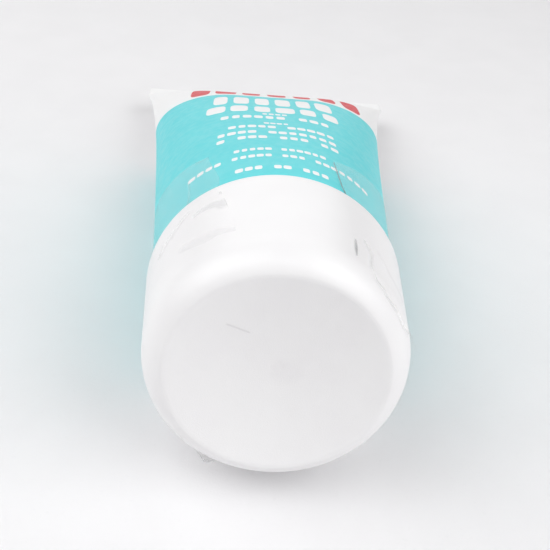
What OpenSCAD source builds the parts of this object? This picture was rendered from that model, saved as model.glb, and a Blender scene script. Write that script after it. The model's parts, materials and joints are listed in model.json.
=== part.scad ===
// Squeeze tube of shaving cream with a full-width screw cap, lying on its back.
// Every piece is drawn on the tube's own axis, the cap's end at zero and the tail at the top,
// and is then laid down so that the part rests on the ground at Z = 0.

/* [Tube sleeve] */
// Outer diameter of the sleeve at its round end
sleeve_d = 45; // [38:0.5:56]
// Length of the sleeve from its round end to the tail
sleeve_len = 124; // [100:1:180]
// Thickness of the sleeve's wall
sleeve_wall = 0.5; // [0.3:0.05:0.8]
// Length of the flat seal at the tail
seal_len = 6; // [4:0.5:12]
// Number of crimped lines across the seal
crimp_count = 5; // [3:1:8]
// Height of a crimped line
crimp_h = 0.12; // [0.05:0.01:0.2]
// Share of its thickness that the sleeve loses evenly along its length; the rest goes near the seal
even_taper = 0.66; // [0.2:0.01:0.9]
// How late the sleeve starts to thin behind the head: 1 is at once
late_start = 1.12; // [1:0.02:2]
// How suddenly the two walls close on each other at the seal
sudden_end = 6; // [2:0.5:12]
// Shape of the pressed sections: 0 is flat with round edges, 1 is a true oval
oval_share = 0.47; // [0:0.01:0.9]

/* [Tube head] */
// Height of the sloping shoulder
shoulder_rise = 6.5; // [4:0.5:9]
// Thickness of the shoulder
shoulder_wall = 1.2; // [0.8:0.1:1.8]
// Length of the shoulder's skirt inside the sleeve
skirt_len = 4; // [2:0.5:8]
// Diameter of the neck under its thread
neck_d = 18; // [14:0.5:22]
// Thickness of the neck's wall
neck_wall = 1.6; // [1.2:0.1:2.5]
// Diameter of the opening that the cream comes out of
orifice_d = 7; // [4:0.5:9]
// Thickness of the web round the opening
lip_t = 1.2; // [0.8:0.1:2]
// Radius of the hollow corner between the neck and the shoulder
neck_fillet = 1; // [0.5:0.1:2]

/* [Cap] */
// Height of the cap
cap_h = 27; // [25:0.5:36]
// How far the cap's open edge stands out past the sleeve
cap_proud = 0.6; // [0.3:0.1:1.5]
// How far the cap's side draws in from its open edge to its rounded rim
cap_draft = 1.5; // [0.5:0.1:2.5]
// Half width of the oval that rounds the rim, across the axis
rim_across = 5; // [3:0.1:6]
// Half length of that oval, along the axis
rim_along = 6.2; // [3:0.1:8]
// How far the flat ring that the cap stands on cuts into the rounding
rim_cut = 1.4; // [0.5:0.1:2]
// Width of that flat ring
land_w = 0.4; // [0.3:0.1:1.5]
// Radius of the cap's open edge
mouth_edge = 0.3; // [0.1:0.05:0.5]
// Depth of the step from the flat ring into the dish
dish_step = 0.5; // [0.2:0.1:1]
// Width of that step
dish_step_w = 1.5; // [0.3:0.1:2]
// Depth of the dish in its middle
dish_depth = 1.4; // [0.8:0.1:2.5]
// Thickness of the cap's side
cap_wall = 1.4; // [1:0.1:2]
// Thickness of the cap's end under the middle of the dish
end_wall = 1.6; // [1:0.1:2.5]
// Thickness of the threaded barrel inside the cap
barrel_wall = 1.3; // [1:0.1:2]
// Number of stiffening ribs between the barrel and the side
rib_count = 8; // [4:1:12]
// Thickness of a rib
rib_t = 0.9; // [0.6:0.1:1.4]
// Height of a rib
rib_h = 8; // [4:0.5:12]
// Thickness of the ring that backs the liner
seat_wall = 1.5; // [1:0.1:2.5]
// Height of that ring
seat_h = 4; // [1:0.5:6]

/* [Liner and foil] */
// Thickness of the foam liner
liner_t = 1.2; // [0.6:0.1:2]
// Thickness of the peel-off foil
foil_t = 0.1; // [0.06:0.02:0.2]
// How far the foil stays inside the edge of the neck
foil_inset = 0.3; // [0.1:0.1:1]

/* [Cream] */
// Length of the air space between the cream and the seal
air_len = 8; // [6:1:40]

/* [Clear tape] */
// Width of the tape on the sleeve
tape_on_sleeve = 24; // [8:0.5:32]
// Distance from the cap's rounded rim to the tape's edge
tape_to_rim = 1.2; // [0.5:0.1:12]
// Thickness of the tape
tape_t = 0.1; // [0.05:0.01:0.2]
// Angle left open between the tape's two ends, over the label side
tape_open = 52; // [20:1:120]

/* [Lie and clearances] */
// Angle by which the tube's axis drops towards the tail
lie_angle = 7.5; // [6.5:0.1:8.5]
// Height of the neck's thread, which the barrel leaves room for
thread_h = 0.9; // [0.6:0.1:1.2]
// Play between the thread and the barrel
thread_gap = 0.3; // [0.2:0.05:0.5]
// Gap between the cap's open edge and the sleeve
cap_gap = 0.4; // [0.2:0.05:1]
// Gap between the sleeve and the shoulder's skirt, where they are welded
weld_gap = 0.1; // [0.05:0.01:0.2]
// Gap on each face of the liner
seal_gap = 0.05; // [0.02:0.01:0.1]
// Play of the liner in the barrel
liner_gap = 0.3; // [0.1:0.05:0.5]
// Gap between the cream and what holds it
cream_gap = 0.15; // [0.1:0.05:0.4]
// Gap under the tape
tape_gap = 0.05; // [0.04:0.01:0.1]

/* [Hidden] */
$fn = 96;
white = [0.97, 0.97, 0.97];
teal = [0.30, 0.76, 0.78];
ivory = [0.95, 0.93, 0.86];
silver = [0.80, 0.81, 0.83];
clear = [0.90, 0.95, 0.96, 0.35];

// Facets of the sleeve: points round it, and rings under the tape and along the belly
sides = 64;
tape_rings = 3;
belly_rings = 16;
// Share of the pressed part at which the inner walls have met
cavity_end = 0.99;
// Speed at which the oval sections turn flat towards the tail
oval_fade = 8;
// Points along a rounded edge, and along the dish
edge_steps = 10;
dish_steps = 8;
corner_steps = 4;
// Overlap that fuses the features of one moulding
fuse = 0.3;

// Radii of the sleeve and the places along the axis
core_r = sleeve_d / 2 - sleeve_wall;
sleeve_u = cap_h + cap_gap;
skirt_u = sleeve_u + skirt_len;
tape_u = sleeve_u + tape_on_sleeve;
tail_u = sleeve_u + sleeve_len;
seal_u = tail_u - seal_len;
press_len = seal_u - skirt_u;

// Rings of the sleeve, which the tape and the cream share so that they lie evenly on it
taped_rings = concat(
    [sleeve_u, skirt_u],
    [for (k = [1:tape_rings]) skirt_u + (tape_u - skirt_u) * k / tape_rings]);
open_rings = [for (k = [1:belly_rings - 1]) tape_u + (seal_u - tape_u) * k / belly_rings];

// The head: the shoulder's cone runs from the sleeve's edge up to the neck
shoulder_r = core_r - weld_gap;
neck_r = neck_d / 2;
bore_r = neck_r - neck_wall;
skirt_r = shoulder_r - shoulder_wall;
neck_u = sleeve_u - shoulder_rise;
cone_lift = shoulder_wall / cos(atan2(shoulder_rise, shoulder_r - neck_r));
function cone_u(r) = sleeve_u - shoulder_rise * (shoulder_r - r) / (shoulder_r - neck_r);

// The cap: its side follows the sleeve, and its barrel the neck
cap_open_r = sleeve_d / 2 + cap_proud;
cap_end_r = cap_open_r - cap_draft;
rim_r = cap_end_r - rim_across;
rim_start = asin(rim_cut / rim_across);
rim_u = rim_along * cos(rim_start);
land_r = rim_r + rim_cut;
dish_r = land_r - land_w;
floor_u = dish_depth + end_wall;
barrel_r = neck_r + thread_h + thread_gap;
function side_r(u) = cap_end_r + cap_draft * (u - rim_u) / (cap_h - rim_u);

// The seal: seat, liner, foil and the lip of the neck lie on each other
seat_u = floor_u + seat_h;
liner_u = seat_u + seal_gap;
foil_u = liner_u + liner_t + seal_gap;
lip_u = foil_u + foil_t;

// The lie: the taped edge of the cap and the flattened belly touch the ground
tape_lift = tape_gap + tape_t;
rest_h = (cap_open_r + tape_lift) * cos(lie_angle) + cap_h * sin(lie_angle);
front_a = max(rim_start, atan(rim_across * tan(lie_angle) / rim_along));
front_y = (rim_u - rim_along * cos(front_a)) * cos(lie_angle)
    - (rim_r + rim_across * sin(front_a)) * sin(lie_angle);
back_y = tail_u * cos(lie_angle) + sleeve_wall * sin(lie_angle);

// Lowest place that the sleeve and its tape reach from the axis: past the stiff skirt the
// belly is pressed flat on the ground
function ground(u) =
    u > skirt_u ? (rest_h - u * sin(lie_angle)) / cos(lie_angle) : sleeve_d;

// Room that the sleeve leaves for the tape under its belly, fading out past the tape's edge
function tape_room(u) =
    tape_lift * max(0, min(1, 2 - (u - sleeve_u) / tape_on_sleeve));

// Thickness of the sleeve as a share of its round end: 1 there and 0 at the seal
function fullness(t) =
    1 - even_taper * pow(min(t, 1), late_start) - (1 - even_taper) * pow(min(t, 1), sudden_end);

// One section of the sleeve's inner face, grown outwards by a skin.
// Its girth stays that of the round end while the two walls close on each other.
function section(u, skin, lowest) =
    let (t = max(u - skirt_u, 0) / press_len)
    let (half_t = core_r * fullness(t))
    let (oval = oval_share * (1 - pow(min(t, 1), oval_fade)))
    let (flat = (1 - oval) * PI / 2 * (core_r - half_t))
    let (oval_w = pow(2 * pow(core_r, 1.5) - pow(half_t, 1.5), 2 / 3))
    let (round_w = (1 - oval) * half_t + oval * oval_w)
    [for (i = [0:sides - 1])
        let (a = 360 * (i + 0.5) / sides)
        [flat * sign(cos(a)) + (round_w + skin) * cos(a),
         min((half_t + skin) * sin(a), lowest),
         u]];

// One round section inside the head
function disc(u, r) =
    [for (i = [0:sides - 1])
        let (a = 360 * (i + 0.5) / sides)
        [r * cos(a), r * sin(a), u]];

// Two triangles for each cell of a grid of rows, facing away from the axis
function grid_faces(rows, columns, step, first = 0, closed = true) =
    [for (k = [0:rows - 2], i = [0:columns - (closed ? 1 : 2)])
        let (a = first + k * step + i)
        let (b = first + k * step + (i + 1) % columns)
        each [[a, a + step, b + step], [a, b + step, b]]];

function turned(faces) = [for (f = faces) [f[2], f[1], f[0]]];

function count_from(first, n) = [for (i = [0:n - 1]) first + i];

function reversed(list) = [for (i = [len(list) - 1:-1:0]) list[i]];

// Closed solid through a stack of rings
module loft(stack) {
    top = (len(stack) - 1) * sides;
    polyhedron(
        points = [for (ring = stack) each ring],
        faces = concat(
            grid_faces(len(stack), sides, sides),
            [count_from(0, sides)],
            [reversed(count_from(top, sides))]));
}

// Thin-walled solid between two stacks of rings: open at the first ring, closed at the tail
module loft_shell(outer, inner) {
    first_in = len(outer) * sides;
    last_out = first_in - sides;
    last_in = first_in + (len(inner) - 1) * sides;
    polyhedron(
        points = [for (ring = concat(outer, inner)) each ring],
        faces = concat(
            grid_faces(len(outer), sides, sides),
            turned(grid_faces(len(inner), sides, sides, first_in)),
            turned(grid_faces(2, sides, first_in)),
            [reversed(count_from(last_out, sides))],
            [count_from(last_in, sides)]));
}

// Thin strip between two stacks of open rows of points
module strip(outer, inner) {
    rows = len(outer);
    columns = len(outer[0]);
    all = rows * columns;
    last = all - columns;
    polyhedron(
        points = [for (row = concat(outer, inner)) each row],
        faces = concat(
            grid_faces(rows, columns, columns, 0, false),
            turned(grid_faces(rows, columns, columns, all, false)),
            turned(grid_faces(2, columns, all, 0, false)),
            [for (i = [0:columns - 2])
                each [[last + i, last + all + i, last + all + i + 1],
                      [last + i, last + all + i + 1, last + i + 1]]],
            [for (k = [0:rows - 2])
                let (a = k * columns)
                let (b = a + columns)
                each [[a, a + all, b + all], [a, b + all, b]]],
            [for (k = [0:rows - 2])
                let (a = (k + 1) * columns - 1)
                let (b = a + columns)
                each [[a, b, b + all], [a, b + all, a + all]]]));
}

// Lays a piece down from the tube's axis, with the label side up and the cap to the front
module lay_down() {
    translate([0, -(front_y + back_y) / 2, rest_h])
        rotate([-90 - lie_angle, 0, 0])
            children();
}

// A quarter of a circle round a point, which turns back from an angle
function quarter(r, u, size, from_a) =
    [for (k = [0:corner_steps])
        let (a = from_a - 90 * k / corner_steps)
        [r + size * cos(a), u + size * sin(a)]];

// The cap's outer outline, from its side round the rim and into the dish
function rim_outline() =
    [for (k = [0:edge_steps])
        let (a = 90 + (rim_start - 90) * k / edge_steps)
        [rim_r + rim_across * sin(a), rim_u - rim_along * cos(a)]];

function dish_outline() =
    let (floor_r = dish_r - dish_step_w)
    concat(
        [for (k = [0:edge_steps])
            let (s = k / edge_steps)
            [dish_r - dish_step_w * s, dish_step * (1 - cos(180 * s)) / 2]],
        [for (k = [1:dish_steps])
            let (s = 1 - k / dish_steps)
            [floor_r * s, dish_depth - (dish_depth - dish_step) * s * s]]);

// The cap's inner outline, from the middle of its floor to its open edge
function hollow_outline() =
    let (corner = rim_across - cap_wall)
    let (corner_u = max(rim_u, floor_u + corner))
    concat(
        [[0, floor_u]],
        [for (k = [0:edge_steps])
            let (a = 90 * k / edge_steps)
            [side_r(corner_u) - cap_wall - corner * (1 - sin(a)),
             corner_u - (corner_u - floor_u) * cos(a)]],
        [[side_r(cap_h) - cap_wall, cap_h]]);

module ring(r_in, r_out, from_u, to_u) {
    rotate_extrude()
        translate([r_in, from_u])
            square([r_out - r_in, to_u - from_u]);
}

// Flexible sleeve, round at the head and pressed flat into a seal at the tail
module tube_sleeve() {
    color(teal)
        lay_down() {
            along = concat(taped_rings, open_rings);
            cavity_u = skirt_u + press_len * cavity_end;
            crimp_step = seal_len / (2 * crimp_count + 1);
            loft_shell(
                concat(
                    [for (u = concat(along, [seal_u]))
                        section(u, sleeve_wall, ground(u) - tape_room(u))],
                    [for (k = [1:2 * crimp_count])
                        section(seal_u + crimp_step * k, sleeve_wall + crimp_h * (k % 2), sleeve_d)],
                    [section(tail_u, sleeve_wall, sleeve_d)]),
                [for (u = concat(along, [cavity_u]))
                    section(u, 0, ground(u) - tape_room(u) - sleeve_wall)]);
        }
}

// The hollow corner from the shoulder's cone to the neck: an arc that touches both
function neck_corner() =
    let (slope = atan2(shoulder_rise, shoulder_r - neck_r))
    let (turn = 90 - slope)
    let (from_neck = neck_fillet * tan(turn / 2))
    [for (k = [0:corner_steps])
        let (a = 180 - turn * (1 - k / corner_steps))
        [neck_r + neck_fillet * (1 + cos(a)), neck_u - from_neck + neck_fillet * sin(a)]];

// Stiff moulded head, welded into the sleeve: skirt, sloping shoulder, neck and outlet
module tube_shoulder() {
    color(white)
        lay_down()
            rotate_extrude()
                polygon([
                    [shoulder_r, skirt_u],
                    [shoulder_r, sleeve_u],
                    each neck_corner(),
                    [neck_r, lip_u + foil_inset],
                    [neck_r - foil_inset, lip_u],
                    [orifice_d / 2, lip_u],
                    [orifice_d / 2, lip_u + lip_t],
                    [bore_r, lip_u + lip_t],
                    [bore_r, cone_u(bore_r) + cone_lift],
                    [skirt_r, cone_u(skirt_r) + cone_lift],
                    [skirt_r, skirt_u]]);
}

// Peel-off foil over the outlet
module foil_seal() {
    color(silver)
        lay_down()
            translate([0, 0, foil_u])
                cylinder(r = neck_r - foil_inset, h = foil_t);
}

// The filling: it runs from the neck down to the air space at the tail
module cream() {
    neck_fill_r = bore_r - cream_gap;
    skirt_fill_r = skirt_r - cream_gap;
    drop = cone_lift + cream_gap;
    start_u = skirt_u + cream_gap;
    end_u = seal_u - air_len;
    within = [for (u = concat(taped_rings, open_rings)) if (u > start_u + cream_gap && u < end_u) u];
    color(ivory)
        lay_down()
            loft(concat(
                [disc(lip_u + lip_t + cream_gap, neck_fill_r)],
                [disc(cone_u(neck_fill_r) + drop, neck_fill_r)],
                [disc(cone_u(skirt_fill_r) + drop, skirt_fill_r)],
                [disc(start_u, skirt_fill_r)],
                [for (u = concat([start_u + cream_gap], within, [end_u]))
                    section(u, -cream_gap, ground(u) - tape_room(u) - sleeve_wall - cream_gap)]));
}

// Moulded screw cap: drafted side, rounded rim, dished end, threaded barrel, ribs and liner seat
module cap() {
    barrel_out = barrel_r + barrel_wall;
    mouth_r = side_r(cap_h - mouth_edge);
    color(white)
        lay_down() {
            rotate_extrude()
                polygon(concat(
                    quarter(mouth_r - mouth_edge, cap_h - mouth_edge, mouth_edge, 90),
                    rim_outline(), dish_outline(), hollow_outline()));
            ring(barrel_r, barrel_out, floor_u - fuse, neck_u - cap_gap);
            ring(neck_r - foil_inset - seat_wall, neck_r - foil_inset,
                floor_u - fuse, seat_u);
            intersection() {
                for (k = [0:rib_count - 1])
                    rotate([0, 0, 360 / rib_count * (k + 0.5)])
                        translate([barrel_out - fuse, -rib_t / 2, floor_u - fuse])
                            cube([side_r(cap_h) - barrel_out, rib_t, rib_h + fuse]);
                rotate_extrude()
                    polygon(concat(
                        [[0, cap_h], [cap_open_r - cap_wall + fuse, cap_h]],
                        [for (p = rim_outline()) [p[0] - fuse, p[1] + fuse]],
                        [[0, fuse]]));
            }
        }
}

// Foam disc that seals the cap against the neck
module cap_liner() {
    color(ivory)
        lay_down()
            translate([0, 0, liner_u])
                cylinder(r = barrel_r - liner_gap, h = liner_t);
}

// Clear tape round the joint, its half on the sleeve
module tape_on_tube() {
    first = ceil(sides * (270 + tape_open / 2) / 360 - 0.5);
    last = sides + floor(sides * (270 - tape_open / 2) / 360 - 0.5);
    color(clear)
        lay_down()
            strip(
                [for (u = taped_rings)
                    let (s = section(u, sleeve_wall + tape_lift, ground(u)))
                    [for (i = [first:last]) s[i % sides]]],
                [for (u = taped_rings)
                    let (s = section(u, sleeve_wall + tape_gap, ground(u) - tape_t))
                    [for (i = [first:last]) s[i % sides]]]);
}

// Clear tape round the joint, its half on the cap
module tape_on_cap() {
    edge_u = rim_u + tape_to_rim;
    color(clear)
        lay_down()
            rotate([0, 0, tape_open / 2 - 90])
                rotate_extrude(angle = 360 - tape_open)
                    polygon([
                        [side_r(cap_h) + tape_gap, cap_h],
                        [side_r(cap_h) + tape_lift, cap_h],
                        [side_r(edge_u) + tape_lift, edge_u],
                        [side_r(edge_u) + tape_gap, edge_u]]);
}

tube_sleeve();
tube_shoulder();
foil_seal();
cream();
cap();
cap_liner();
tape_on_tube();
tape_on_cap();
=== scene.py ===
import json
from math import asin, atan2, cos, hypot, pi, radians, sin

import bmesh
import bpy
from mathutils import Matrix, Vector, noise


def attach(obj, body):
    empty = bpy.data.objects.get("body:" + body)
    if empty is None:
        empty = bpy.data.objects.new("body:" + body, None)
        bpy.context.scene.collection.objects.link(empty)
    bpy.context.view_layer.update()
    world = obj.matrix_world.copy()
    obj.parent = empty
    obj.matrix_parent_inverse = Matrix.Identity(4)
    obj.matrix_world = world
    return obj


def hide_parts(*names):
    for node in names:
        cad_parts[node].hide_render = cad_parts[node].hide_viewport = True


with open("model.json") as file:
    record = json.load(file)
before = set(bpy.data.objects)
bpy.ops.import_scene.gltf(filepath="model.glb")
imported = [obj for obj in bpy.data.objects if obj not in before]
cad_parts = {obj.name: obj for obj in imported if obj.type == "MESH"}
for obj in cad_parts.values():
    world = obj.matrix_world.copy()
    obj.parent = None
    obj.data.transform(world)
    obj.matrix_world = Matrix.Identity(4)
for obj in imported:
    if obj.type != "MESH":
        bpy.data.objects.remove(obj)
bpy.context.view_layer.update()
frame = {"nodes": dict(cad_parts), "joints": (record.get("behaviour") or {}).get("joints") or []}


# Sleeve: a soft polyethylene tube, printed teal up to its bare white tail. It is round at the head;
# at the tail its two walls are pressed together and welded, and the jaws leave crimped lines.
# The cream keeps it full, and its belly lies flat on the ground.
mm = 0.001
cap_turn = next(j for j in frame["joints"] if j["name"] == "cap_turn")
cap_end = Vector(cap_turn["pos_m"])
lie = asin(cap_turn["axis"][2])

core_r, sleeve_wall = 22.0, 0.5
sleeve_u, skirt_u, seal_u, tail_u = 27.4, 31.4, 145.4, 151.4
even_taper, late_start, sudden_end = 0.66, 1.12, 6
oval_share, oval_hold, girth_power = 0.47, 8, 1.5
crimps, crimp_h = 5, 0.12
sleeve_sides = 160


def only(*pieces):
    """Selects these pieces and nothing else, and makes the first of them the active one."""
    bpy.ops.object.select_all(action="DESELECT")
    for piece in pieces:
        piece.select_set(True)
    bpy.context.view_layer.objects.active = pieces[0]


def add(primitive, **sizes):
    """Adds one primitive by its operator, with its place and its turn in its mesh."""
    bpy.ops.object.select_all(action="DESELECT")
    primitive(**sizes)
    bpy.ops.object.transform_apply(location=True, rotation=True, scale=True)
    return bpy.context.object


def edit(piece):
    """Opens a piece in edit mode, with all of it selected."""
    only(piece)
    bpy.ops.object.mode_set(mode="EDIT")
    bpy.ops.mesh.select_all(action="SELECT")


def pick(piece, test):
    """In edit mode, selects the points of a piece that pass a test, and the edges between them."""
    bpy.ops.mesh.select_all(action="DESELECT")
    mesh = bmesh.from_edit_mesh(piece.data)
    for point in mesh.verts:
        point.select = test(point)
    mesh.select_flush(True)


def lay_down(piece, name):
    """Lays a piece from the tube's own axis onto the ground, with its place in its mesh."""
    bpy.ops.object.mode_set(mode="OBJECT")
    piece.name = piece.data.name = name
    piece.location = cap_end
    piece.rotation_euler = (-lie, 0, 0)
    only(piece)
    bpy.ops.object.transform_apply(location=True, rotation=True, scale=True)


def spaced(start, end, steps):
    """Evenly spaced values from a start to an end."""
    return [start + (end - start) * k / steps for k in range(steps + 1)]


def ring_at(u, skin):
    """How far the two halves of the sleeve's ring stand apart, and how wide and thick each is, at a
    place on the tube's axis. The girth stays that of the round end."""
    t = min(max((u - skirt_u) / (seal_u - skirt_u), 0), 1)
    thick = core_r * max(1 - even_taper * t**late_start - (1 - even_taper) * t**sudden_end, 0)
    oval = oval_share * (1 - t**oval_hold)
    apart = (1 - oval) * pi / 2 * (core_r - thick)
    full = (2 * core_r**girth_power - thick**girth_power) ** (1 / girth_power)
    wide = (1 - oval) * thick + oval * full
    return apart, wide + skin, thick + skin


def squeeze(piece, ring, old, new, u):
    """Squeezes each half of a ring to its new width and thickness, and moves the halves apart."""
    (old_apart, old_wide, old_thick), (apart, wide, thick) = old, new
    for side in (1, -1):
        for point in ring:
            point.select_set(point.co.x * side > 0)
        bpy.ops.transform.resize(value=(wide / old_wide, 1, thick / old_thick),
                                 center_override=(side * old_apart * mm, u * mm, 0))
        bpy.ops.transform.translate(value=(side * (apart - old_apart) * mm, 0, 0))
    for point in ring:
        point.select_set(True)
    bmesh.from_edit_mesh(piece.data).select_flush(True)


# The wall runs up the inside, round the open end and down the outside to the crimped tail.
inner_len, inner_rings, outer_rings, first_ring, tail_round = 116, 30, 54, 2, 0.1
crimp_step = (tail_u - seal_u) / (2 * crimps + 1)
inner = [(u, 0) for u in spaced(sleeve_u + inner_len, sleeve_u, inner_rings)]
edge = [(sleeve_u, 0.2), (sleeve_u + 0.08, 0.4), (sleeve_u + 0.3, sleeve_wall)]
outer = [(u, sleeve_wall) for u in spaced(sleeve_u + first_ring, seal_u, outer_rings)]
crimped = [(seal_u + crimp_step * k / 2, sleeve_wall + crimp_h / 2 * (1 - cos(pi * k / 2)))
           for k in range(1, 4 * crimps + 1)]
tail = [(tail_u - tail_round, sleeve_wall), (tail_u, sleeve_wall - tail_round)]
path = inner + edge + outer + crimped + tail

sleeve = add(bpy.ops.mesh.primitive_circle_add, vertices=sleeve_sides, radius=mm,
             location=(0, path[0][0] * mm, 0), rotation=(pi / 2, pi / sleeve_sides, 0))
edit(sleeve)
shape = (0, 1, 1)
for (u, skin), (u_before, _) in zip(path, path[:1] + path[:-1]):
    if (u, skin) != path[0]:
        bpy.ops.mesh.extrude_edges_move(TRANSFORM_OT_translate={"value": (0, (u - u_before) * mm, 0)})
    mesh = bmesh.from_edit_mesh(sleeve.data)
    squeeze(sleeve, [point for point in mesh.verts if point.select], shape, ring_at(u, skin), u)
    shape = ring_at(u, skin)
bpy.ops.mesh.edge_face_add()
pick(sleeve, lambda point: point.index < sleeve_sides)
bpy.ops.mesh.edge_face_add()
bpy.ops.mesh.select_all(action="SELECT")
bpy.ops.mesh.normals_make_consistent(inside=False)
lay_down(sleeve, "sleeve")

# Its weight presses the belly flat: both walls are eased near the ground and then levelled.
inner_points = len(inner) * sleeve_sides
tape_edge_u, tape_room, eased_h = 51.4, 0.15, 1.6


def belly(point, lift):
    """Whether a point of the sleeve is pressed down: it would sink into the ground, or come as near
    to it as the tape needs at the taped end. The lift takes in points that much higher."""
    y = (point.co.y - cap_end.y) / mm
    room = tape_room * min(max(2 - (y - sleeve_u) / (tape_edge_u - sleeve_u), 0), 1)
    level = room + (sleeve_wall if point.index < inner_points else 0)
    return y > skirt_u and point.co.z < (level + lift) * mm


edit(sleeve)
pick(sleeve, lambda point: belly(point, eased_h))
bpy.ops.mesh.vertices_smooth(factor=0.5, repeat=8)
for level, inside in ((0, False), (sleeve_wall, True)):
    pick(sleeve, lambda point: belly(point, 0) and (point.index < inner_points) == inside)
    bpy.ops.transform.resize(value=(1, 1, 0), center_override=(0, 0, level * mm))
bpy.ops.object.mode_set(mode="OBJECT")
bpy.ops.object.shade_smooth_by_angle(angle=radians(40))


class Shade:
    """One output of a shader node. Sums on it add Math nodes, and node() adds any other node."""

    def __init__(self, tree, socket=None):
        self.tree, self.socket = tree, socket

    def node(self, kind, settings, sockets, out=0):
        """Adds a node: its settings are set first, then the values or links of its sockets."""
        made = self.tree.nodes.new("ShaderNode" + kind)
        for name, value in settings.items():
            setattr(made, name, value)
        for name, value in sockets.items():
            if isinstance(value, Shade):
                self.tree.links.new(value.socket, made.inputs[name])
            else:
                made.inputs[name].default_value = value
        return Shade(self.tree, made.outputs[out])

    def feed(self, socket):
        """Links this output to a socket of the surface."""
        self.tree.links.new(self.socket, socket)

    def sum(self, operation, *values):
        """Adds a Math node."""
        return self.node("Math", {"operation": operation}, dict(enumerate(values)))

    def __add__(self, other):
        return self.sum("ADD", self, other)

    def __sub__(self, other):
        return self.sum("SUBTRACT", self, other)

    def __rsub__(self, other):
        return self.sum("SUBTRACT", other, self)

    def __mul__(self, other):
        return self.sum("MULTIPLY", self, other)

    def __truediv__(self, other):
        return self.sum("DIVIDE", self, other)

    def __rtruediv__(self, other):
        return self.sum("DIVIDE", other, self)

    def __pow__(self, other):
        return self.sum("POWER", self, other)

    def __abs__(self):
        return self.sum("ABSOLUTE", self)

    def __or__(self, other):
        return self.sum("MAXIMUM", self, other)

    __radd__, __rmul__ = __add__, __mul__

    def step(self, start, end):
        """0 before the start and 1 after the end, with a soft step between them."""
        settings = {"interpolation_type": "SMOOTHSTEP"}
        return self.node("MapRange", settings, {"Value": self, "From Min": start, "From Max": end})

    def mix(self, first, second):
        """A colour that goes from the first to the second as this value goes from 0 to 1."""
        return self.node("Mix", {"data_type": "RGBA"}, {0: self, 6: first, 7: second}, out=2)


def finish(name, **constants):
    """A new material, its surface, and the place on the tube's own axis, in millimetres."""
    material = bpy.data.materials.new(name)
    material.use_nodes = True
    tree = material.node_tree
    surface = tree.nodes["Principled BSDF"]
    for socket, value in constants.items():
        surface.inputs[socket.replace("_", " ")].default_value = value
    where = Shade(tree).node("TexCoord", {}, {}, out="Object")
    place = where.node("Mapping", {"vector_type": "TEXTURE"}, {
        "Vector": where, "Location": cap_end, "Rotation": (-lie, 0, 0), "Scale": (mm, mm, mm)})
    return material, surface, place


def axes(place):
    """The three values of a place: across, along the axis from the cap's end, and above the axis."""
    split = place.node("SeparateXYZ", {}, {"Vector": place}).socket.node
    return [Shade(place.tree, output) for output in split.outputs]


def grain(place, scale, detail=2):
    """A fine cloud pattern; the scale counts its blots on a millimetre."""
    return place.node("TexNoise", {}, {"Vector": place, "Scale": scale, "Detail": detail})


def bump(height, distance):
    """The normal of a surface with a height pattern, whose full height is in metres."""
    return height.node("Bump", {}, {"Height": height, "Distance": distance})


def blocks(x, u, middle, half, pitch, groups):
    """A row of plain printed blocks with rounded corners, in groups counted in blocks from the
    middle: 1 inside them. Each block's half width is a share of the pitch that differs a little."""
    least_share, more_share, squareness, blur = 0.35, 0.1, 4, 0.05
    along = x / pitch
    cell = along.sum("FLOOR", along)
    chance = cell.node("TexWhiteNoise", {"noise_dimensions": "1D"}, {"W": cell + middle})
    row = None
    for first, last in groups:
        group = (abs(along - (first + last) / 2) - (last - first) / 2).step(blur, -blur)
        row = group if row is None else row | group
    across = abs(along - cell - 0.5) / (least_share + more_share * chance)
    return row * (across**squareness + (abs(u - middle) / half) ** squareness).step(0.95, 0.7)


film, surface, place = finish("sleeve_film", Specular_IOR_Level=0.3)
x, u, z = axes(place)
print_edge, print_blur = 110.95, 0.12
white_film, grey_film = (0.955, 0.955, 0.955, 1), (0.945, 0.948, 0.952, 1)
teal_ink, pale_teal = (0.118, 0.726, 0.776, 1), (0.13, 0.742, 0.787, 1)
red_ink = (0.72, 0.03, 0.045, 1)
# The label's rows: middle on the axis, half height, pitch of the blocks, and groups of blocks.
rows = [
    (100, 6.3, 5.1, [(-3, 3)]),
    (87.3, 4.0, 5.4, [(-3, 3)]),
    (81, 0.9, 1.5, [(-2, 2)]),
    (76.8, 1.7, 2.5, [(-5, 1), (2, 5)]),
    (69.9, 0.8, 1.4, [(-2, 2)]),
    (65.9, 1.3, 2.1, [(-5, 0), (1, 6)]),
    (60.4, 1.3, 2.1, [(-6, -2), (-1, 6)]),
    (55.5, 1.3, 2.1, [(-6, -5), (-4, -1), (0, 3), (4, 6)]),
    (45.3, 1.0, 1.5, [(-6, -1), (0, 6)]),
    (40.4, 1.0, 1.55, [(-11, -7), (-6, -1), (0, 3), (4, 11)]),
    (32.5, 1.1, 1.7, [(-5, -2), (-1, 1), (2, 5)]),
]
red_row, red_shift = (121, 8, 6.8, [(-4, 3)]), 5.2
ink = None
for row in rows:
    ink = blocks(x, u, *row) if ink is None else ink | blocks(x, u, *row)
label_side = z.step(2, 4)
reds = blocks(x - red_shift, u, *red_row)
cloud = grain(place, 0.09).step(0.3, 0.7)
paper = cloud.mix(grey_film, white_film)
teal = cloud.mix(teal_ink, pale_teal)
printed = u.step(print_edge + print_blur, print_edge - print_blur)
colour = printed.mix((reds * label_side).mix(paper, red_ink), (ink * label_side).mix(teal, white_film))
colour.feed(surface.inputs["Base Color"])
(0.36 + 0.12 * grain(place, 0.6).step(0.3, 0.7)).feed(surface.inputs["Roughness"])
bump(grain(place, 0.12, 3) + 0.05 * grain(place, 6), 0.25 * mm).feed(surface.inputs["Normal"])
sleeve.data.materials.append(film)
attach(sleeve, "tube")
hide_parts("tube_sleeve")


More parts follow.
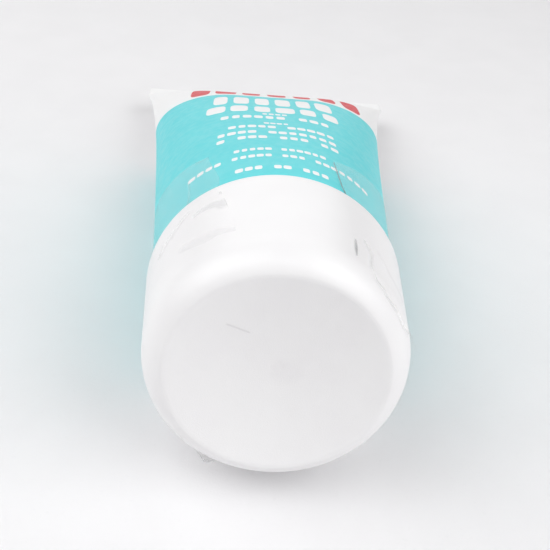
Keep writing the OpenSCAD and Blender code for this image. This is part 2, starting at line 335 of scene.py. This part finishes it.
# Head: one stiff white polyethylene moulding, welded into the sleeve's round end. A sloping shoulder
# carries the neck, whose coarse right-hand thread takes the cap and whose lip has a small outlet.
skirt_r, head_wall, shoulder_rise = 21.9, 1.2, 6.5
neck_r, bore_r, outlet_r = 9.0, 7.4, 3.5
neck_u, lip_u = sleeve_u - shoulder_rise, 8.4
thread_r, thread_lead, thread_u, neck_turns = 9.85, 4.0, 18.4, 2
sunk = 0.2


def turn(outline, sides):
    """A turned piece: a circle extruded ring by ring along an outline of (radius, place on the axis)."""
    start_r, start_u = outline[0]
    piece = add(bpy.ops.mesh.primitive_circle_add, vertices=sides, radius=start_r * mm,
                location=(0, start_u * mm, 0), rotation=(pi / 2, 0, 0))
    edit(piece)
    for (r0, u0), (r1, u1) in zip(outline, outline[1:]):
        bpy.ops.mesh.extrude_edges_move(TRANSFORM_OT_translate={"value": (0, (u1 - u0) * mm, 0)})
        bpy.ops.transform.resize(value=(r1 / r0, 1, r1 / r0), center_override=(0, u1 * mm, 0))
    if outline[-1] != outline[0]:
        bpy.ops.mesh.edge_face_add()
        pick(piece, lambda point: point.index < sides)
        bpy.ops.mesh.edge_face_add()
    bpy.ops.mesh.select_all(action="SELECT")
    bpy.ops.mesh.remove_doubles(threshold=0.001 * mm)
    bpy.ops.mesh.normals_make_consistent(inside=False)
    bpy.ops.object.mode_set(mode="OBJECT")
    return piece


def thread(root_r, crest_r, start_u, turns):
    """A thread's ridge: its section turned along the axis by the Screw modifier, with faded ends."""
    foot, flat, fade, steps = 0.9, 0.35, 16, 72
    section = [(root_r, -foot), (crest_r, -flat), (crest_r, flat), (root_r, foot)]
    piece = add(bpy.ops.mesh.primitive_plane_add, size=2 * mm)
    edit(piece)
    mesh = bmesh.from_edit_mesh(piece.data)
    mesh.faces.ensure_lookup_table()
    for corner, (r, u) in zip(mesh.faces[0].loops, section):
        corner.vert.co = Vector((r, start_u + u, 0)) * mm
    bpy.ops.object.mode_set(mode="OBJECT")
    screw = piece.modifiers.new("thread", "SCREW")
    screw.axis, screw.angle, screw.screw_offset = "Y", 2 * pi * turns, thread_lead * turns * mm
    screw.steps = screw.render_steps = int(steps * turns)
    screw.use_merge_vertices = False
    bpy.ops.object.modifier_apply(modifier="thread")
    edit(piece)
    corners = len(section)
    last = len(piece.data.vertices) // corners - 1
    for k in range(fade):
        share = (root_r + (crest_r - root_r) * k / fade) / crest_r
        for ring in (k, last - k):
            pick(piece, lambda point: point.index // corners == ring
                 and abs(hypot(point.co.x, point.co.z) - crest_r * mm) < 0.01 * mm)
            bpy.ops.transform.resize(value=(share, 1, share), center_override=(0, 0, 0))
    bpy.ops.mesh.select_all(action="SELECT")
    bpy.ops.mesh.fill_holes(sides=0)
    bpy.ops.mesh.select_all(action="SELECT")
    bpy.ops.mesh.normals_make_consistent(inside=False)
    bpy.ops.object.mode_set(mode="OBJECT")
    return piece


slope = shoulder_rise / (skirt_r - neck_r)
under = head_wall / cos(atan2(shoulder_rise, skirt_r - neck_r))
web_u = lip_u + head_wall
head_outline = (
    [(skirt_r, skirt_u), (skirt_r, sleeve_u + 0.3), (skirt_r - 0.12, sleeve_u)]
    + [(skirt_r - 0.5 - d, sleeve_u - 0.2 - d * slope) for d in (0, 2, 5, 8, 10.6)]
    + [(neck_r + 0.9, neck_u + 0.35), (neck_r + 0.4, neck_u - 0.05), (neck_r + 0.1, neck_u - 0.5)]
    + [(neck_r, neck_u - 1.1), (neck_r, (neck_u + lip_u) / 2), (neck_r, lip_u + 0.5)]
    + [(neck_r - 0.15, lip_u + 0.15), (neck_r - 0.5, lip_u)]
    + [(outlet_r + 0.5, lip_u), (outlet_r + 0.1, lip_u + 0.15), (outlet_r, lip_u + 0.5)]
    + [(outlet_r, web_u), (bore_r, web_u), (bore_r, neck_u - 0.8 + under)]
    + [(skirt_r - head_wall, sleeve_u - 0.6 + under), (skirt_r - head_wall, skirt_u), (skirt_r, skirt_u)]
)
head = turn(head_outline, 128)
ridge = thread(neck_r - sunk, thread_r, thread_u - thread_lead * neck_turns, neck_turns)
only(head, ridge)
bpy.ops.object.join()
lay_down(head, "head")
bpy.ops.object.shade_smooth_by_angle(angle=radians(35))

moulding, surface, place = finish("head_plastic")
head_white = grain(place, 0.25).step(0.3, 0.7).mix((0.86, 0.86, 0.85, 1), (0.9, 0.9, 0.89, 1))
head_white.feed(surface.inputs["Base Color"])
(0.36 + 0.12 * grain(place, 1.5)).feed(surface.inputs["Roughness"])
bump(grain(place, 5), 0.02 * mm).feed(surface.inputs["Normal"])
head.data.materials.append(moulding)
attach(head, "tube")
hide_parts("tube_shoulder")


# Foil: a bright peel-off disc of aluminium laminate, heat-sealed on the neck's lip. It keeps its
# solid, and the foil is lightly creased.
def coat(node, material):
    """Gives a solid that is kept its material."""
    solid = frame["nodes"][node].data
    solid.materials.clear()
    solid.materials.append(material)


foil, surface, place = finish("foil", Metallic=1.0)
creases = place.node("TexVoronoi", {"feature": "DISTANCE_TO_EDGE"}, {"Vector": place, "Scale": 0.35})
# The foil is drawn darker along its creases: painted shade.
foil_grey = creases.step(0, 0.1).mix((0.7, 0.71, 0.73, 1), (0.82, 0.83, 0.85, 1))
foil_grey.feed(surface.inputs["Base Color"])
(0.22 + 0.14 * grain(place, 1.2)).feed(surface.inputs["Roughness"])
bump(creases.step(0, 0.12), 0.05 * mm).feed(surface.inputs["Normal"])
coat("foil_seal", foil)


# Cream: the thick white filling. It keeps its solid, sealed inside the sleeve and the head.
cream, surface, place = finish("cream", Subsurface_Weight=0.2)
cream_white = grain(place, 0.15).mix((0.9, 0.88, 0.83, 1), (0.95, 0.94, 0.91, 1))
cream_white.feed(surface.inputs["Base Color"])
(0.4 + 0.25 * grain(place, 0.5)).feed(surface.inputs["Roughness"])
bump(grain(place, 0.2, 3), 0.5 * mm).feed(surface.inputs["Normal"])
coat("cream", cream)


# Liner: a die-cut disc of fine white foam, which lies loose in the cap and seals on the neck's lip.
# It keeps its solid; the foam shows its closed cells.
foam, surface, place = finish("liner_foam")
cells = place.node("TexVoronoi", {"feature": "DISTANCE_TO_EDGE"}, {"Vector": place, "Scale": 4.0})
foam_white = cells.step(0, 0.15).mix((0.8, 0.79, 0.75, 1), (0.91, 0.9, 0.86, 1))
foam_white.feed(surface.inputs["Base Color"])
(0.65 + 0.2 * cells).feed(surface.inputs["Roughness"])
bump(cells, 0.05 * mm).feed(surface.inputs["Normal"])
coat("cap_liner", foam)


# Cap: one white polypropylene moulding, screwed on the neck. Its side has a slight draft, a full
# rounded rim runs into the narrow ring that the tube stands on, and the dished end is finely matt.
# Inside are the threaded barrel, the ring behind the liner and eight stiffening ribs.
cap_h, open_r, end_r, cap_wall = 27.0, 23.1, 21.6, 1.4
rim_r, rim_across, rim_along, rim_cut = 16.6, 5.0, 6.2, 1.4
rim_start = asin(rim_cut / rim_across)
rim_u = rim_along * cos(rim_start)
dish_r, dish_edge, dish_depth = 17.9, 0.6, 2.9
gate_r, gate_h = 1.1, 0.04
mouth_round, inside_u, inside_round, floor_u = 0.3, 6.6, 3.6, 4.1


def side_r(u):
    """The cap's outer radius along its drafted side."""
    return end_r + (open_r - end_r) * (u - rim_u) / (cap_h - rim_u)


hollow_r, pole_r = dish_r - dish_edge, 0.3
lean = 2 * dish_depth / dish_r
gate_u = dish_depth + gate_h
gate = [(pole_r, gate_u), (gate_r - 0.35, gate_u), (gate_r - 0.15, gate_u - 0.015), (gate_r, gate_u - 0.03)]
dish = [(r, dish_depth - lean * r * r / hollow_r / 2) for r in spaced(gate_r + 0.25, hollow_r, 16)]
dish_side = [(dish_r - gap, lean * gap * gap / dish_edge / 2) for gap in spaced(dish_edge, 0, 6)[1:]]
rim = [(rim_r + rim_across * sin(a), rim_u - rim_along * cos(a)) for a in spaced(rim_start, pi / 2, 18)]
mouth_u = cap_h - mouth_round
side = [(side_r(u), u) for u in spaced(rim_u, mouth_u, 12)[1:]]
mouth = [(side_r(mouth_u) - mouth_round * (1 - cos(a)), mouth_u + mouth_round * sin(a))
         for a in spaced(0, pi / 2, 4)[1:]]
mouth += [(open_r - cap_wall + 0.2, cap_h), (open_r - cap_wall + 0.03, cap_h - 0.15)]
hollow = [(side_r(u) - cap_wall, u) for u in (20, 12)]
hollow += [(side_r(inside_u) - cap_wall - inside_round * (1 - cos(a)), inside_u - inside_round * sin(a))
           for a in spaced(0, pi / 2, 6)]
hollow += [(r, floor_u) for r in (12, 8, 4, pole_r)]
cap = turn(gate + dish + dish_side + rim + side + mouth + hollow, 192)

barrel_r, barrel_wall, barrel_top, barrel_draft = 10.2, 1.3, 20.5, 0.2
barrel_crest_r, barrel_turns = 9.35, 1.5
seat_in, seat_out, seat_top, seat_round = 7.2, 8.7, 7.0, 0.2
barrel_out, root_u = barrel_r + barrel_wall, floor_u - 0.3
barrel = turn(
    [(barrel_r, root_u), (barrel_r, barrel_top - 0.6), (barrel_r + 0.3, barrel_top - 0.1)]
    + [(barrel_out - 0.2, barrel_top), (barrel_out, barrel_top - 0.2)]
    + [(barrel_out + barrel_draft, root_u), (barrel_r, root_u)], 96)
seat = turn(
    [(seat_in, root_u), (seat_in, seat_top - seat_round), (seat_in + seat_round, seat_top)]
    + [(seat_out - seat_round, seat_top), (seat_out, seat_top - seat_round)]
    + [(seat_out, root_u), (seat_in, root_u)], 96)
# Half a turn less than the neck's thread, so that this one runs in its groove.
ridge = thread(barrel_r + sunk, barrel_crest_r, thread_u - thread_lead * barrel_turns, barrel_turns)

rib_count, rib_t, rib_top, rib_drop, rib_round = 8, 0.9, 11.0, 2.5, 0.2
rib_in, rib_out, rib_foot = barrel_out - 0.2, side_r(rim_u) - cap_wall + 0.4, floor_u - 0.2
rib_middle_r, rib_middle_u = (rib_in + rib_out) / 2, (rib_foot + rib_top) / 2
rib = add(bpy.ops.mesh.primitive_cube_add, size=mm, location=(rib_middle_r * mm, rib_middle_u * mm, 0),
          scale=(rib_out - rib_in, rib_top - rib_foot, rib_t))
edit(rib)
pick(rib, lambda point: point.co.y > rib_middle_u * mm and point.co.x > rib_middle_r * mm)
bpy.ops.transform.translate(value=(0, -rib_drop * mm, 0))
pick(rib, lambda point: point.co.y > rib_middle_u * mm)
bpy.ops.mesh.bevel(offset=rib_round * mm, segments=2, affect="EDGES")
bpy.ops.object.mode_set(mode="OBJECT")
ribs = [rib]
while len(ribs) < rib_count:
    only(rib)
    bpy.ops.object.duplicate()
    ribs.append(bpy.context.object)
for k, copy in enumerate(ribs):
    only(copy)
    copy.rotation_euler = (0, 2 * pi * (k + 0.5) / rib_count, 0)
    bpy.ops.object.transform_apply(location=True, rotation=True, scale=True)
only(cap, barrel, seat, ridge, *ribs)
bpy.ops.object.join()
lay_down(cap, "cap_shell")
bpy.ops.object.shade_smooth_by_angle(angle=radians(35))

plastic, surface, place = finish("cap_plastic", Coat_Weight=0.15, Coat_Roughness=0.3)
x, u, z = axes(place)
scuff_grey = (0.55, 0.52, 0.55, 1)
scratch_x, scratch_z, scratch_turn = -6.53, 7.22, radians(25.3)
smudge_x, smudge_z = 1.6, -0.8
from_axis = (x * x + z * z) ** 0.5
dished = u.step(floor_u - 0.5, dish_depth + 0.3) * from_axis.step(dish_r - 0.1, dish_r - 0.7)
white = grain(place, 0.12).step(0.3, 0.7).mix((0.94, 0.932, 0.94, 1), (0.955, 0.95, 0.955, 1))
across, down = x - scratch_x, z - scratch_z
run = cos(scratch_turn) * across - sin(scratch_turn) * down
off = sin(scratch_turn) * across + cos(scratch_turn) * down
scratch = abs(run).step(2.3, 1.7) * abs(off).step(0.24, 0.06) * dished
smudge = ((x - smudge_x) ** 2 + (z - smudge_z) ** 2).step(10, 1) * dished
(0.27 * scratch + 0.04 * smudge).mix(white, scuff_grey).feed(surface.inputs["Base Color"])
(0.3 + 0.06 * grain(place, 0.8) + 0.2 * dished).feed(surface.inputs["Roughness"])
bump(grain(place, 7, 3) * (0.25 + 0.75 * dished) - scratch, 0.03 * mm).feed(surface.inputs["Normal"])
cap.data.materials.append(plastic)
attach(cap, "cap")
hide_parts("cap")


# Tape: clear glossy packing tape, wound once round the joint of cap and sleeve by hand, with its two
# ends apart on the label side. It is puckered where it turns in over the cap's rim, and a few folds
# and creases are caught in it. This is the half that sticks to the sleeve.
tape_t, tape_r, tape_gap, slit = 0.1, 22.8, 0.05, 0.05
degree = tape_r * pi / 180


def between(points, at):
    """A value read off a line through (place, value) points."""
    for (a, va), (b, vb) in zip(points, points[1:]):
        if at <= b:
            return va + (vb - va) * max(at - a, 0) / (b - a)
    return points[-1][1]


def nearness(line, turned, u):
    """How near a place is to a crease, a line through (place on the axis, degrees, width) points:
    1 on the line and 0 beyond its width."""
    best = 1
    for (u0, a0, w0), (u1, a1, w1) in zip(line, line[1:]):
        du, da = u1 - u0, (a1 - a0) * degree
        share = min(max(((u - u0) * du + (turned - a0) * degree * da) / (du * du + da * da), 0), 1)
        off = hypot(u - u0 - share * du, (turned - a0) * degree - share * da)
        best = min(best, off / (w0 + (w1 - w0) * share))
    return (1 - best) ** 2 * (1 + 2 * best)


def wind(name, target, hoop, near_u, far_u, right, left, creases, puckers, rows):
    """A strip of tape wound on a piece. near_u is its edge at the joint and far_u its outer edge,
    by degrees clockwise from the top; right and left are its two ends, by place on the axis. A
    crease is its line, how high it stands in millimetres, how folded it is, and how dark the
    painted shade drawn along it is."""
    columns, crowding, plateau = 330, 0.7, 1.6
    strip = add(bpy.ops.mesh.primitive_grid_add, x_subdivisions=columns, y_subdivisions=rows, size=1)
    places = []
    middle = sum(value for _, value in far_u) / len(far_u)
    for point in strip.data.vertices:
        across, share = point.co.x + 0.5, point.co.y + 0.5
        u = near_u + (middle - near_u) * share
        start, end = between(right, u), between(left, u)
        turned = start + (end - start) * (across - crowding * sin(2 * pi * across) / (2 * pi))
        u = near_u + (between(far_u, turned) - near_u) * share
        x, z = hoop(u, radians(turned))
        point.co = Vector((x, u, z)) * mm
        places.append((turned, u))
    lay_down(strip, name)
    edit(strip)
    bpy.ops.mesh.normals_make_consistent(inside=False)
    bpy.ops.object.mode_set(mode="OBJECT")
    hug = strip.modifiers.new("hug", "SHRINKWRAP")
    hug.target, hug.wrap_method, hug.wrap_mode = target, "NEAREST_SURFACEPOINT", "OUTSIDE_SURFACE"
    hug.offset = tape_gap * mm
    bpy.ops.object.modifier_apply(modifier="hug")
    fold = strip.data.attributes.new("fold", "FLOAT", "POINT")
    # The second attribute is painted shade: how dark the tape is drawn along a crease.
    crease_shade = strip.data.attributes.new("crease_shade", "FLOAT", "POINT")
    outward = [Vector(normal.vector) for normal in strip.data.vertex_normals]
    for point, (turned, u), normal in zip(strip.data.vertices, places, outward):
        lift = puckers(turned, u)
        for line, height, folded, shade_strength in creases:
            near = nearness(line, turned, u)
            lift += height * near
            for attribute, most in ((fold, folded), (crease_shade, shade_strength)):
                value = attribute.data[point.index]
                value.value = max(value.value, most * min(plateau * near, 1))
        point.co += normal * lift * mm
        point.co.z = max(point.co.z, tape_t * mm)
    body = strip.modifiers.new("film", "SOLIDIFY")
    body.thickness, body.offset = tape_t * mm, 1
    bpy.ops.object.modifier_apply(modifier="film")
    bpy.ops.object.shade_smooth_by_angle(angle=radians(60))
    return strip


def flat_tape(turned, u):
    """Slight unevenness of the tape on the sleeve."""
    return 0.02 + 0.03 * noise.noise((turned * 0.15, u * 0.3, 2))


def sleeve_hoop(u, turned):
    """A place just outside the sleeve."""
    outside = 0.2
    apart, wide, thick = ring_at(u, sleeve_wall + outside)
    return (apart if sin(turned) > 0 else -apart) + wide * sin(turned), thick * cos(turned)


tube_tape = wind(
    "tape_on_sleeve", sleeve, sleeve_hoop, sleeve_u + slit,
    far_u=[
        (0, 43), (24, 45.1), (35, 48.4), (46, 51.3), (57, 54.2), (67, 56.5), (90, 57.5), (180, 55),
        (270, 52.6), (291, 51.7), (300, 50.5), (310, 49.7), (319, 49), (327, 48.1), (340, 47),
    ],
    right=[(27, 29.4), (46, 23.8)],
    left=[(27, 331), (33, 330.9), (48, 327.1)],
    creases=[
        ([(39, 314.6, 0.35), (27, 314.2, 0.35)], 0.12, 0.5, 0.0),
        # The tape's right end stands off the sleeve, and the dark line drawn along it is painted shadow.
        ([(27, 29.5, 0.14), (44.5, 24.3, 0.09)], 0.1, 0.2, 1.0),
        ([(47.9, 320, 0.4), (47.2, 326, 0.4)], 0.1, 0.4, 0.0),
    ],
    puckers=flat_tape, rows=66)

clear, surface, place = finish("tape_film", Roughness=0.5, Specular_IOR_Level=0.2)
u = axes(place)[1]
# Folds are drawn grey, partly for the haze of the doubled film and partly as painted shade; the dark
# teal-grey drawn along lifted edges, puckers and folds is painted shadow.
clean, creased, painted_shadow = (0.97, 0.97, 0.97, 1), (0.8, 0.8, 0.82, 1), (0.05, 0.09, 0.1, 1)
folded = place.node("Attribute", {"attribute_name": "fold"}, {}, out="Fac")
shade_strength = place.node("Attribute", {"attribute_name": "crease_shade"}, {}, out="Fac")
shade_strength.mix(folded.mix(clean, creased), painted_shadow).feed(surface.inputs["Base Color"])
unevenness = bump(grain(place, 0.5, 3), 0.12 * mm)
unevenness.feed(surface.inputs["Normal"])
through = place.node("BsdfTranslucent", {}, {"Color": clean})
scatter = place.node("MixShader", {}, {0: 0.3, 1: Shade(place.tree, surface.outputs[0]), 2: through})
bare = place.node("BsdfTransparent", {}, {"Color": (1, 1, 1, 1)})
milky = 0.001 + 0.096 * u.step(sleeve_u - 0.3, sleeve_u) + 0.2 * folded + 0.6 * shade_strength
hazy = place.node("MixShader", {}, {0: milky, 1: bare, 2: scatter})
gloss = place.node("BsdfGlossy", {}, {"Roughness": 0.14, "Normal": unevenness})
edgewise = place.node("LayerWeight", {}, {"Blend": 0.5}, out="Facing") ** 5
glossy = place.node("MixShader", {}, {0: 0.002 + 0.03 * edgewise, 1: hazy, 2: gloss})
glossy.feed(place.tree.nodes["Material Output"].inputs["Surface"])
tube_tape.data.materials.append(clear)
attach(tube_tape, "tube")
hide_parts("tape_on_tube")


# Tape on the cap: the other half of the same strip, slit along the joint. Its outer edge turns in
# over the rim on the right and underneath, where it puckers, and it is folded over on the left.
turn_in_u, pleat_h, bulge_h, slack_h = 7.5, 0.9, 0.7, 0.35


def mound(turned, u, middle, middle_u, size, along=1):
    """A swelling round a place on the cap: 1 in its middle and 0 at its edge."""
    around = 0.4
    return max(1 - hypot((turned - middle) * around, (u - middle_u) * along) / size, 0)


def puckered(turned, u):
    """How far the tape stands off the cap: hardly on its side, in small pleats over its rim, in two
    bulges there, and loosely on the left."""
    over = max(1 - u / turn_in_u, 0)
    pleat = abs(noise.noise((turned * 0.16, u * 0.12, 0)))
    bulge = mound(turned, u, 79, 4.2, 3.2) + mound(turned, u, 209, 2.2, 2.4)
    slack = mound(turned, u, 318, 13, 9, along=0.8) * (0.5 + noise.noise((turned * 0.22, u * 0.35, 5)))
    return 0.02 + pleat_h * over * pleat + bulge_h * bulge + slack_h * slack


def cap_hoop(u, turned):
    """A place just outside the cap's side and rim."""
    outside = 0.3
    r = side_r(u) if u > rim_u else rim_r + rim_across * (1 - ((rim_u - u) / rim_along) ** 2) ** 0.5
    return (r + outside) * sin(turned), (r + outside) * cos(turned)


cap_tape = wind(
    "tape_on_cap_side", cap, cap_hoop, cap_h - slit,
    far_u=[
        (0, 6), (30.2, 6), (31.2, 8.4), (34.5, 7.5), (37, 5), (40, 3), (50, 2.4), (64, 2.1), (72, 3.1),
        (80, 3.4), (95, 3), (130, 3.5), (180, 4.5), (200, 3.4), (209, 1.9), (218, 3.6), (250, 6),
        (280, 9.3), (315, 10), (321, 9.1), (326, 8.5), (330.5, 9.2), (335, 9.1), (340, 8.8),
    ],
    right=[(5, 29.4), (9, 29.4), (20, 28), (27, 29.4)],
    left=[(9, 339.3), (17.3, 335.5), (21, 334), (27, 331)],
    creases=[
        # The last value of each crease darkens it: painted shade along the folds, the wrinkle on the right
        # and the outline of the pucker underneath, and a short dark mark on the right.
        ([(19.2, 334.6, 2.3), (20.2, 330.4, 1.5), (20.4, 326.6, 1.2), (20.3, 322.9, 0.8),
          (19.8, 320, 0.4)], 0.15, 1.0, 0.0),
        ([(22.7, 317.1, 0.5), (21.8, 312.3, 0.5), (20.6, 308, 0.7), (19.5, 303.2, 0.9),
          (17.7, 297.2, 0.6)], 0.2, 0.7, 0.0),
        ([(22, 315.3, 0.4), (20.6, 310.6, 0.4), (18.8, 306.8, 0.4)], 0.1, 0.4, 0.0),
        ([(9.4, 339.1, 1.0), (10.2, 330.4, 1.9), (9.9, 325.8, 2.1), (10.4, 320.9, 1.9),
          (11.4, 314.7, 1.2)], 0.08, 0.5, 0.0),
        ([(23.6, 332.3, 0.4), (23.4, 333, 0.4)], 0.1, 0.3, 0.25),
        ([(12.9, 35.4, 0.35), (10.3, 38.9, 0.4), (4.2, 36.9, 0.4), (2.9, 40.4, 0.35), (2.5, 49.9, 0.3),
          (2.2, 63.8, 0.3), (3.2, 71.6, 0.4)], 0.1, 0.5, 0.2),
        ([(11.2, 30.2, 0.15), (8.8, 30.1, 0.38), (7.6, 29.9, 0.34), (5.9, 29.7, 0.12)], 0.1, 0.4, 0.65),
        ([(2.9, 205.5, 0.4), (2.0, 209, 0.5), (2.9, 212.5, 0.4)], 0.1, 0.5, 0.4),
        ([(13, 44, 0.8), (10, 51, 0.9), (9, 62, 0.6)], 0.1, 0.15, 0.0),
    ],
    puckers=puckered, rows=60)
cap_tape.data.materials.append(clear)
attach(cap_tape, "cap")
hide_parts("tape_on_cap")


# Floor: a plain sheet of pale card under the tube, with the faint grain of its fibres.
floor_size = 6
floor = add(bpy.ops.mesh.primitive_plane_add, size=floor_size)
floor.name = floor.data.name = "floor"
card, surface, place = finish("pale_card", Roughness=0.8, Specular_IOR_Level=0.2)
fibres = 0.5 * grain(place, 0.06, 4).step(0.3, 0.7) + 0.5 * grain(place, 1.3, 4).step(0.72, 0.62)
fibres.mix((0.866, 0.861, 0.871, 1), (0.896, 0.891, 0.901, 1)).feed(surface.inputs["Base Color"])
bump(grain(place, 2.5, 3), 0.03 * mm).feed(surface.inputs["Normal"])
floor.data.materials.append(card)


# Light and camera: large soft boxes on the left and on the right, each low and high, and low at the
# back, with pale light all round. The camera is close in front of the cap and looks down on it.
scene = bpy.context.scene
scene.view_settings.view_transform = "Standard"
world = bpy.data.worlds.new("studio")
scene.world = world
world.use_nodes = True
world.node_tree.nodes["Background"].inputs["Color"].default_value = (1, 0.99, 1, 1)
world.node_tree.nodes["Background"].inputs["Strength"].default_value = 0.2
box_size, aim = 0.75, Vector((0, -0.03, 0.02))
for name, location, energy in (
    ("left", (-0.655, -0.03, 0.46), 1.4),
    ("high_left", (-0.43, -0.19, 0.655), 2.8),
    ("right", (0.575, -0.34, 0.46), 2.6),
    ("high_right", (0.4, -0.26, 0.655), 1.7),
    ("back", (0, 0.7, 0.34), 1.15),
    ("back_left", (-0.51, 0.48, 0.34), 0.58),
):
    bpy.ops.object.light_add(type="AREA", location=location)
    lamp = bpy.context.object
    lamp.name = name
    lamp.data.size, lamp.data.energy = box_size, energy
    lamp.rotation_euler = (aim - lamp.location).to_track_quat("-Z", "Y").to_euler()

bpy.ops.object.camera_add(location=(-0.0088456, -0.1759437, 0.117505),
                          rotation=(0.9576071, -0.0815761, -0.0108844))
camera = bpy.context.object
camera.data.sensor_width = 36
camera.data.lens = 57.4346
camera.data.clip_start = 0.001
scene.camera = camera
